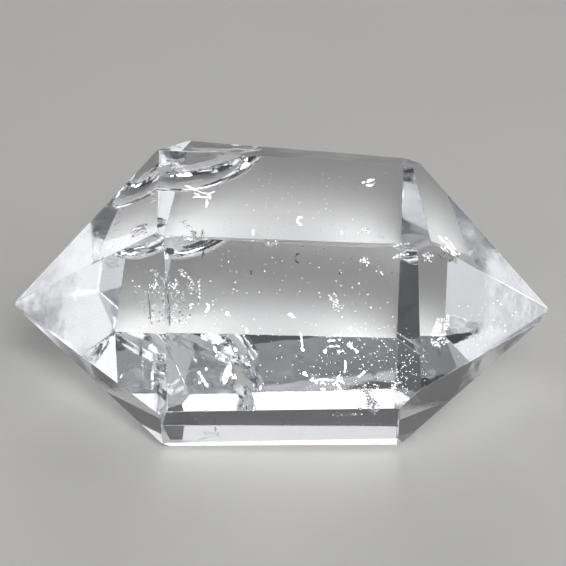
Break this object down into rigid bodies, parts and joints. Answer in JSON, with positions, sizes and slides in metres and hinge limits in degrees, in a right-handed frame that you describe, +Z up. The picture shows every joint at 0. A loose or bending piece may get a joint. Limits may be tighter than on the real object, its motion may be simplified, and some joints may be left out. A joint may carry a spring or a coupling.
{
  "type": "double terminated quartz crystal",
  "caption": "Clear quartz crystal with a faceted point at each end and a flattened six-sided body, ground and polished, lying on one long face.",
  "frame": {"origin": "On the surface the crystal lies on, under the middle of its bounding box.", "axes": "+X runs along the crystal from the left point to the right point, -Y is the side towards the viewer, +Z is up."},
  "size_m": [0.05, 0.0308, 0.0213],
  "materials": {
    "quartz": "polished"
  },
  "bodies": {
    "root": {"crystal": "quartz"}
  },
  "joints": []
}
